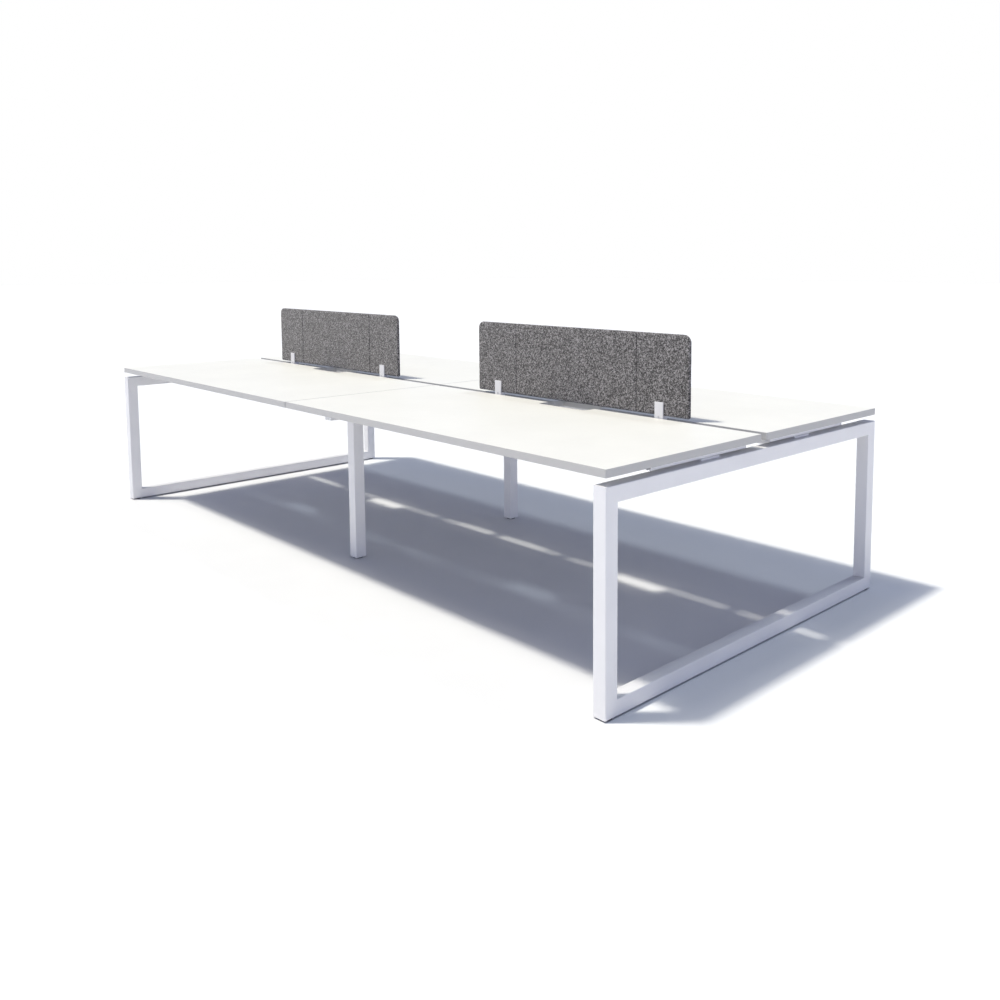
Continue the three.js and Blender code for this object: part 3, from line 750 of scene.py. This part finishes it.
class FeltPanel:
    """A screen's felt about its middle: two faces of even mesh, joined by a rounded rim."""

    RIM_STEPS = 4
    SEAM_STEPS = (0.0, 0.25, 0.5, 0.8, 1.1, 1.5, 2.0, 2.8)
    # Waves to the metre and their share of the waviness
    WAVES = ((60.0, 1.0), (170.0, 0.6))

    def __init__(self, low, high):
        self.low = low
        self.high = high
        self.edge = sizes().felt_edge
        self.middle = (low + high) / 2
        size = (high - low) / 2
        self.half_width = size.x - self.edge
        self.half_height = size.z - self.edge
        self.half_depth = size.y
        self.top_corner = sizes().felt_top_corner - self.edge
        self.foot_corner = sizes().felt_foot_corner - self.edge
        seam = size.x - sizes().seam_inset
        self.seams = (-seam, seam)

    def columns(self):
        """Places of the mesh columns: closer in the corners and beside the seams."""
        places = set()
        for corner in (self.top_corner, self.foot_corner):
            for step in range(CORNER_STEPS + 1):
                setback = corner * (1 - math.cos(step / CORNER_STEPS * math.pi / 2))
                places.update((self.half_width - setback, setback - self.half_width))
        for seam, step in product(self.seams, self.SEAM_STEPS):
            offset = step * sizes().seam_reach
            places.update((seam - offset, seam + offset))
        reach = self.half_width - self.top_corner
        count = round(2 * reach / sizes().felt_mesh)
        clear = self.SEAM_STEPS[-1] * sizes().seam_reach + sizes().felt_mesh / 2
        for i in range(1, count):
            x = reach * (2 * i / count - 1)
            if min(abs(x - seam) for seam in self.seams) > clear:
                places.add(x)
        return sorted(places)

    def limits(self, x):
        """(height, outward direction) of the face's foot and of its top at x."""
        found = []
        for corner, way in ((self.foot_corner, -1), (self.top_corner, 1)):
            into = max(0.0, abs(x) - self.half_width + corner)
            rise = math.sqrt(max(0.0, corner * corner - into * into))
            outward = Vector((math.copysign(into, x), 0.0, way * rise)).normalized()
            found.append((way * (self.half_height - corner + rise), outward))
        return found

    def build(self):
        bm = bmesh.new()
        xs = self.columns()
        rows = round(2 * self.half_height / sizes().felt_mesh)
        faces = [[], []]
        for x in xs:
            (foot, _), (top, _) = self.limits(x)
            heights = [foot + (top - foot) * j / rows for j in range(rows + 1)]
            for grid, way in zip(faces, (-1, 1)):
                grid.append([bm.verts.new((x, way * self.half_depth, z)) for z in heights])
        for grid, way in zip(faces, (-1, 1)):
            for left, right in zip(grid, grid[1:]):
                for j in range(rows):
                    corners = (left[j], right[j], right[j + 1], left[j + 1])
                    bm.faces.new(corners if way < 0 else corners[::-1])
        self.rim(bm, xs, rows, faces)
        self.press(bm)
        bmesh.ops.translate(bm, verts=bm.verts, vec=self.middle)
        return bm

    def rim(self, bm, xs, rows, faces):
        """Closes the edge between the two faces."""
        last = len(xs) - 1
        border = [(i, 0) for i in range(last)] + [(last, j) for j in range(rows)]
        border += [(i, rows) for i in range(last, 0, -1)] + [(0, j) for j in range(rows, 0, -1)]
        outward = []
        for i, j in border:
            if i in (0, last):
                outward.append(Vector((math.copysign(1.0, xs[i]), 0.0, 0.0)))
            else:
                outward.append(self.limits(xs[i])[1 if j else 0][1])
        loops = [[faces[0][i][j] for i, j in border]]
        angles = [step / self.RIM_STEPS * math.pi / 2 for step in range(1, self.RIM_STEPS + 1)]
        depths = [(math.sin(a), self.half_depth - self.edge * (1 - math.cos(a))) for a in angles]
        slices = [(out, -depth) for out, depth in depths]
        slices += [(out, depth) for out, depth in reversed(depths)]
        for out, y in slices:
            loop = []
            for (i, j), way in zip(border, outward):
                point = faces[0][i][j].co + way * (out * self.edge)
                loop.append(bm.verts.new((point.x, y, point.z)))
            loops.append(loop)
        loops.append([faces[1][i][j] for i, j in border])
        for first, second in zip(loops, loops[1:]):
            bridge(bm, second, first)

    def press(self, bm):
        """Draws the felt in along the seams and leaves its surface slightly uneven."""
        bmesh.ops.recalc_face_normals(bm, faces=bm.faces)
        bm.normal_update()
        reach = sizes().seam_reach
        moves = []
        for vert in bm.verts:
            spot = vert.co + self.middle
            uneven = sum(share * noise.noise(spot * waves) for waves, share in self.WAVES)
            drawn = sum(math.exp(-((vert.co.x - seam) / reach) ** 2) for seam in self.seams)
            depth = uneven * sizes().felt_waviness - drawn * sizes().seam_depth
            moves.append(vert.normal * depth)
        for vert, move in zip(bm.verts, moves):
            vert.co += move


# Operators

class DESK_OT_stage(Operator):
    """Sets up the camera, the sun, its haze, the light from behind, the sky and the floor"""

    bl_idname = "desk.stage"
    bl_label = "Stage"

    def execute(self, context):
        scene = context.scene
        stage = scene.desk_stage
        scene.view_settings.view_transform = "Standard"
        self.place_camera(scene, stage)
        for name, travel, colour, strength, size in (
            ("sun", stage.sun_travel, stage.sun_colour, stage.sun_strength, stage.sun_size),
            ("haze", stage.sun_travel, stage.sun_colour, stage.haze_strength, stage.haze_size),
            ("back", stage.back_travel, stage.back_colour, stage.back_strength, stage.back_size),
        ):
            lamp = bpy.data.lights.new(name, "SUN")
            lamp.color = colour
            lamp.energy = strength
            lamp.angle = size
            light = bpy.data.objects.new(name, lamp)
            light.rotation_euler = Vector(travel).to_track_quat("-Z", "Y").to_euler()
            scene.collection.objects.link(light)
        self.light_all_round(scene, stage)
        self.lay_floor(stage)
        return {"FINISHED"}

    @staticmethod
    def place_camera(scene, stage):
        lens = bpy.data.cameras.new("camera")
        lens.lens = stage.camera_lens
        lens.shift_x, lens.shift_y = stage.camera_shift
        lens.clip_end = 4 * stage.floor_reach
        camera = bpy.data.objects.new("camera", lens)
        camera.location = stage.camera_place
        camera.rotation_euler = (math.pi / 2 - stage.camera_tilt, 0.0, stage.camera_turn)
        scene.collection.objects.link(camera)
        scene.camera = camera

    @staticmethod
    def light_all_round(scene, stage):
        """A cool sky that is brighter low down, with plain white behind the desk."""
        scene.world = bpy.data.worlds.new("studio")
        scene.world.use_nodes = True
        world = Tree(scene.world.node_tree)
        strength = stage.sky_strength
        direction = world.node("ShaderNodeTexCoord").outputs["Generated"]
        lean = world.node(
            "ShaderNodeVectorMath", direction, stage.sky_lean, operation="DOT_PRODUCT")
        glow = world.node(
            "ShaderNodeMath", lean.outputs["Value"], strength, strength, operation="MULTIPLY_ADD")
        sky = world.tree.nodes["Background"]
        world.fill(sky, Color=(*stage.sky, 1.0), Strength=glow.outputs["Value"])
        white = world.node("ShaderNodeBackground", Color=(1.0, 1.0, 1.0, 1.0))
        seen = world.node("ShaderNodeLightPath").outputs["Is Camera Ray"]
        mixed = world.node(
            "ShaderNodeMixShader", seen, sky.outputs["Background"], white.outputs["Background"])
        world.fill(world.tree.nodes["World Output"], Surface=mixed.outputs["Shader"])

    @staticmethod
    def lay_floor(stage):
        """A floor with one colour as it is seen, and others for the light that it throws back."""
        finish = Finish("pale_floor", Roughness=0.9, Specular_IOR_Level=0.1)
        bright = stage.floor_bounce
        dim = tinted(bright, stage.floor_return)
        tones = (stage.floor_seen, bright, dim, bright, dim)
        last = len(tones) - 1
        bounces = finish.node("ShaderNodeLightPath").outputs["Diffuse Depth"]
        pale = finish.shades(
            finish.spread(bounces, low=0.0, high=1.0, start=0.0, end=last),
            *((bounce / last, tone) for bounce, tone in enumerate(tones)))
        clouds = finish.spread(finish.grain(per_metre=3.0, Detail=2.0), low=0.99, high=1.01)
        clouded = finish.node("ShaderNodeVectorMath", pale, operation="SCALE", Scale=clouds)
        finish.set_shader(Base_Color=clouded.outputs["Vector"])
        reach = stage.floor_reach
        mesh = bpy.data.meshes.new("floor")
        mesh.from_pydata([(x * reach, y * reach, 0.0) for x, y in SQUARE], [], [(0, 1, 2, 3)])
        link("floor", mesh, finish.material)


class DESK_OT_end_frames(Operator):
    """Makes the two closed-loop end frames"""

    bl_idname = "desk.end_frames"
    bl_label = "End frames"

    PARTS = ("top_rail", "bottom_rail", "front_leg", "rear_leg")

    def execute(self, context):
        for side in SIDES:
            self.loop(side)
        return {"FINISHED"}

    def loop(self, side):
        """Four mitred tubes welded into a closed loop, ground flush at its corners."""
        nodes = [f"end_frame_{side}_{part}" for part in self.PARTS]
        low, high = boxes(*nodes)
        tube = high.x - low.x
        middle = (low + high) / 2
        half = (high - low) / 2 - Vector((0.0, tube / 2, tube / 2))
        section = rounded_outline(tube, tube, sizes().tube_corner)
        rings = []
        for y, z in SQUARE:
            rings.append([
                (middle.x + across, middle.y + y * (half.y + out), middle.z + z * (half.z + out))
                for across, out in section
            ])
        bm = bmesh.new()
        skin(bm, rings, meets_itself=True)
        finish_piece(f"end_frame_{side}", bm, powder_coat(), "frame", nodes, "frame_white")


class DESK_OT_middle_frame(Operator):
    """Makes the middle frame: a capped cross rail on two legs"""

    bl_idname = "desk.middle_frame"
    bl_label = "Middle frame"

    def execute(self, context):
        self.tube("mid_cross_rail", Y)
        for row in ROWS:
            self.tube(f"mid_leg_{row}", Z)
            self.cap(row)
            paint(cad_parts[f"leg_insert_{row}"].data, moulded_black())
        return {"FINISHED"}

    @staticmethod
    def tube(node, axis):
        bm = bmesh.new()
        bar(bm, *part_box(node), axis, sizes().tube_corner, sizes().steel_edge)
        dress(node, bm, powder_coat(), "frame_white")

    @staticmethod
    def cap(row):
        """The visible plate of a tube cap, flush with the tube, a third of it rounded."""
        node = f"mid_rail_cap_{row}"
        low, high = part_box(node)
        plate = sizes().cap_plate
        if row == "front":
            high.y = low.y + plate
        else:
            low.y = high.y - plate
        bm = bmesh.new()
        bar(bm, low, high, Y, sizes().tube_corner, plate / 3)
        dress(node, bm, moulded_white(), "cap_white")


class DESK_OT_beams(Operator):
    """Makes the beams between the frames and the bolts on them"""

    bl_idname = "desk.beams"
    bl_label = "Beams"

    def execute(self, context):
        for row, side in product(ROWS, SIDES):
            self.beam(f"beam_{row}_{side}")
        pattern = bolt_pattern()
        self.plate_bolts(pattern)
        self.bracket_bolts(pattern)
        return {"FINISHED"}

    @staticmethod
    def beam(node):
        """A tube with a bolting plate welded on both ends."""
        low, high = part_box(node)
        middle = (low + high) / 2
        plate = sizes().beam_plate
        corner = sizes().tube_corner
        weld = sizes().weld
        bm = bmesh.new()
        for start in (low.x, high.x - plate):
            bar(
                bm, Vector((start, low.y, low.z)), Vector((start + plate, high.y, high.z)), X,
                corner, sizes().steel_edge)
        rings = []
        for x, flare in (
            (low.x + plate, weld), (low.x + plate + weld, 0.0),
            (high.x - plate - weld, 0.0), (high.x - plate, weld),
        ):
            width = sizes().beam_width + 2 * flare
            height = sizes().beam_height + 2 * flare
            outline = rounded_outline(width, height, corner + flare)
            rings.append([Vector((x, middle.y + a, middle.z + b)) for a, b in outline])
        skin(bm, rings)
        dress(node, bm, powder_coat(), "frame_white")

    @staticmethod
    def bolts(pattern, name, seats, head):
        """Bolts on (point, outward vector) seats."""
        base = points_mesh(f"{name}_seats", *zip(*seats))
        pattern.grow(name, base, zinc_plate(), "frame", smooth=False, Head=head)

    def plate_bolts(self, pattern):
        """Two bolts on each plate, a third of its width to both sides of its middle."""
        plate = sizes().beam_plate
        seats = []
        for row, side in product(ROWS, SIDES):
            low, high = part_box(f"beam_{row}_{side}")
            middle = (low + high) / 2
            offset = (high.y - low.y) / 3
            for x, way in ((low.x + plate, 1.0), (high.x - plate, -1.0)):
                for y in (middle.y - offset, middle.y + offset):
                    seats.append(((x, y, middle.z), (way, 0.0, 0.0)))
        self.bolts(pattern, "beam_plate_bolts", seats, sizes().plate_bolt)

    def bracket_bolts(self, pattern):
        """A bolt through each beam into a bracket's tie, and one on each face of its post."""
        low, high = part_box("screen_bracket_left_inner")
        tie_y = high.y + sizes().beam_width + sizes().clearance
        tie_z = low.z + sizes().tie_height / 2
        clamp_y = sizes().post_depth / 2
        clamp_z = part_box("screen_felt_left_front")[0].z - sizes().clamp_drop
        for name, y, z, head in (
            ("tie", tie_y, tie_z, sizes().tie_bolt),
            ("clamp", clamp_y, clamp_z, sizes().clamp_bolt),
        ):
            seats = []
            for side, end in product(SIDES, ENDS):
                low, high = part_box(f"screen_bracket_{side}_{end}")
                for way in (-1.0, 1.0):
                    seats.append((((low.x + high.x) / 2, way * y, z), (0.0, way, 0.0)))
            self.bolts(pattern, f"bracket_{name}_bolts", seats, head)


class DESK_OT_slides(Operator):
    """Makes the slide blocks on the frames and the slide rails under the worktops"""

    bl_idname = "desk.slides"
    bl_label = "Slides"

    def execute(self, context):
        edge = sizes().steel_edge
        # The slides get the brighter copy of the powder coat: painted light for the shade under the
        # worktops
        for row in ROWS:
            for column in COLUMNS:
                node = f"slide_block_{row}_{column}"
                dress(node, softened(node, edge), slide_coat(), "frame_white")
            for side, end in product(SIDES, ENDS):
                node = f"slide_rail_{row}_{side}_{end}"
                bm = softened(node, edge / 2)
                dress(node, bm, slide_coat(), "frame_white", f"top_{row}_{side}")
        return {"FINISHED"}


class DESK_OT_worktops(Operator):
    """Makes the four worktops and their edging"""

    bl_idname = "desk.worktops"
    bl_label = "Worktops"

    def execute(self, context):
        for row, side in product(ROWS, SIDES):
            self.board(row, side)
            self.edging(row, side)
        return {"FINISHED"}

    @staticmethod
    def outline(row, side, inset):
        """Points round a worktop, drawn in by inset, its cable notch towards the desk's middle."""
        low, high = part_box(f"edge_band_{row}_{side}")
        middle = (low + high) / 2
        half = (high - low) / 2
        x, y = half.x - inset, half.y - inset
        corner = sizes().plan_corner - inset
        notch = sizes().notch_corner + inset
        notch_x = sizes().notch_width / 2 + inset
        notch_y = sizes().notch_depth - half.y + inset
        # Each corner's middle, its radius, and its first and last angle
        corners = (
            (corner - x, corner - y, corner, 180, 270),
            (-notch_x - corner, corner - y, corner, 270, 360),
            (notch - notch_x, notch_y - notch, notch, 180, 90),
            (notch_x - notch, notch_y - notch, notch, 90, 0),
            (notch_x + corner, corner - y, corner, 180, 270),
            (x - corner, corner - y, corner, 270, 360),
            (x - corner, y - corner, corner, 0, 90),
            (corner - x, y - corner, corner, 90, 180),
        )
        way = -1 if row == "front" else 1
        points = []
        for a, b, radius, start, end in corners:
            for step in range(CORNER_STEPS + 1):
                angle = math.radians(start + (end - start) * step / CORNER_STEPS)
                points.append((
                    middle.x + way * (a + radius * math.cos(angle)),
                    middle.y + way * (b + radius * math.sin(angle)),
                ))
        return points

    def rings(self, row, side, profile, foot):
        return [
            [(x, y, foot + height) for x, y in self.outline(row, side, inset)]
            for inset, height in profile
        ]

    def board(self, row, side):
        node = f"worktop_{row}_{side}"
        low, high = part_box(node)
        band = low.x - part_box(f"edge_band_{row}_{side}")[0].x
        edge = quarter_round(sizes().board_edge)
        profile = [(band + inset, depth) for depth, inset in edge]
        profile += [(band + inset, high.z - low.z - depth) for depth, inset in reversed(edge)]
        bm = bmesh.new()
        skin(bm, self.rings(row, side, profile, low.z))
        dress(node, bm, melamine(), "board_white", f"top_{row}_{side}")

    def edging(self, row, side):
        """A band round the board, its outer arrises rounded."""
        node = f"edge_band_{row}_{side}"
        low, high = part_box(node)
        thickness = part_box(f"worktop_{row}_{side}")[0].x - low.x
        height = high.z - low.z
        arris = quarter_round(sizes().band_edge)
        profile = [(thickness, 0.0)]
        profile += [(inset, depth) for depth, inset in arris]
        profile += [(inset, height - depth) for depth, inset in reversed(arris)]
        profile += [(thickness, height)]
        bm = bmesh.new()
        skin(bm, self.rings(row, side, profile, low.z), meets_itself=True)
        dress(node, bm, edging_plastic(), "edge_grey", f"top_{row}_{side}")


class DESK_OT_screens(Operator):
    """Makes the felt screens, their stitched seams and their brackets"""

    bl_idname = "desk.screens"
    bl_label = "Screens"

    def execute(self, context):
        lines = []
        for side in SIDES:
            nodes = [f"screen_felt_{side}_{row}" for row in ROWS] + [f"screen_core_{side}"]
            panel = FeltPanel(*boxes(*nodes))
            finish_piece(
                f"screen_felt_{side}", panel.build(), wool_felt(), "frame", nodes, "felt_grey")
            lines += self.seam_lines(panel)
            for end in ENDS:
                node = f"screen_bracket_{side}_{end}"
                dress(node, softened(node, 2 * sizes().steel_edge), powder_coat(), "frame_white")
        points = [point for line in lines for point in line]
        edges = [(2 * i, 2 * i + 1) for i in range(len(lines))]
        base = points_mesh("seam_lines", points, edges=edges)
        stitch_pattern().grow(
            "screen_stitches", base, sewing_yarn(), "frame", "felt_grey",
            Pitch=sizes().stitch_pitch, Length=sizes().stitch_length, Yarn=sizes().yarn)
        return {"FINISHED"}

    @staticmethod
    def seam_lines(panel):
        """A line up each seam on both faces, at the bottom of the drawn-in felt."""
        depth = panel.half_depth - sizes().seam_depth
        margin = panel.edge + sizes().stitch_pitch / 2
        lines = []
        for seam, way in product(panel.seams, (-1, 1)):
            x = panel.middle.x + seam
            y = panel.middle.y + way * depth
            lines.append(((x, y, panel.low.z + margin), (x, y, panel.high.z - margin)))
        return lines


class DESK_OT_feet(Operator):
    """Makes the levelling feet: a ribbed pad on a threaded stem"""

    bl_idname = "desk.feet"
    bl_label = "Feet"

    PAD_SEGMENTS = 48
    THREAD_SEGMENTS = 20
    TURN_STEPS = 5
    # Ribs in from the pad's outer radius, and metres above its foot
    FOOT_CURVE = ((3.0, 0.0), (1.6, 0.0002), (1.0, 0.0008))
    # Ribs in from the pad's outer radius, and metres below its top
    SHOULDER = ((1.0, 0.0014), (1.4, 0.0008), (2.4, 0.0005))
    # Shares of the pad's outer radius, and metres below its top
    CROWN = ((0.62, 0.0003), (0.5, 0.0))
    # Metres of the pad's height that the ribs leave free
    RIB_MARGIN = 0.0022

    def execute(self, context):
        pattern = rib_pattern()
        for row, column in product(ROWS, COLUMNS):
            self.foot(pattern, f"foot_{row}_{column}", f"leveller_{row}_{column}")
        return {"FINISHED"}

    def foot(self, pattern, node, body):
        low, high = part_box(node)
        middle = (low + high) / 2
        radius = (high.x - low.x) / 2
        rib = sizes().foot_rib
        top = sizes().pad_height
        stem_radius = sizes().stem_radius
        profile = [(radius - ribs * rib, height) for ribs, height in self.FOOT_CURVE]
        profile += [(radius - ribs * rib, top - drop) for ribs, drop in self.SHOULDER]
        profile += [(share * radius, top - drop) for share, drop in self.CROWN]
        profile += [(stem_radius, top)]
        angles = [2 * math.pi * i / self.PAD_SEGMENTS for i in range(self.PAD_SEGMENTS)]
        bm = bmesh.new()
        skin(bm, [
            [(middle.x + r * math.cos(a), middle.y + r * math.sin(a), low.z + z) for a in angles]
            for r, z in profile
        ])
        finish_piece(f"{node}_pad", bm, moulded_black(), body, [node], "foot_black")
        base = points_mesh(f"{node}_middle", [(middle.x, middle.y, low.z + top / 2)])
        pattern.grow(
            f"{node}_ribs", base, moulded_black(), body, "foot_black", Count=sizes().foot_ribs,
            Ring=radius - rib, Rib=rib, Height=top - self.RIB_MARGIN)
        self.stem(node, body, middle, stem_radius, low.z + top, high.z)

    def stem(self, node, body, middle, radius, foot, top):
        """A screw thread: each ring's radius follows the turn of the helix."""
        pitch = sizes().thread_pitch
        depth = sizes().thread_depth
        count = math.ceil((top - foot) / pitch * self.TURN_STEPS)
        rings = []
        for step in range(count + 1):
            z = foot + (top - foot) * step / count
            ring = []
            for segment in range(self.THREAD_SEGMENTS):
                turn = segment / self.THREAD_SEGMENTS
                phase = ((z - foot) / pitch - turn) % 1.0
                r = radius - depth * abs(2 * phase - 1)
                angle = 2 * math.pi * turn
                ring.append((middle.x + r * math.cos(angle), middle.y + r * math.sin(angle), z))
            rings.append(ring)
        bm = bmesh.new()
        skin(bm, rings)
        finish_piece(f"{node}_stem", bm, zinc_plate(), body)


# Panel and registration

class DESK_PT_panel(Panel):
    """Lists the desk's pieces and the sizes and colours behind them"""

    bl_label = "Bench desk"
    bl_idname = "DESK_PT_panel"
    bl_space_type = "VIEW_3D"
    bl_region_type = "UI"
    bl_category = "Bench desk"

    def draw(self, context):
        for operator in OPERATORS:
            self.layout.operator(operator.bl_idname)
        for group in GROUPS:
            settings = getattr(context.scene, group)
            box = self.layout.box()
            for name in type(settings).__annotations__:
                box.prop(settings, name)


GROUPS = {"desk_sizes": DeskSizes, "desk_colours": DeskColours, "desk_stage": DeskStage}
OPERATORS = (
    DESK_OT_stage, DESK_OT_end_frames, DESK_OT_middle_frame, DESK_OT_beams, DESK_OT_slides,
    DESK_OT_worktops, DESK_OT_screens, DESK_OT_feet,
)


def register():
    for group in (*GROUPS.values(), *OPERATORS, DESK_PT_panel):
        bpy.utils.register_class(group)
    for name, group in GROUPS.items():
        setattr(bpy.types.Scene, name, PointerProperty(type=group))


def unregister():
    for name in GROUPS:
        delattr(bpy.types.Scene, name)
    for group in (DESK_PT_panel, *reversed(OPERATORS), *GROUPS.values()):
        bpy.utils.unregister_class(group)


def main():
    register()
    for operator in OPERATORS:
        name = operator.bl_idname.split(".")[1]
        getattr(bpy.ops.desk, name)()


if __name__ == "__main__":
    main()
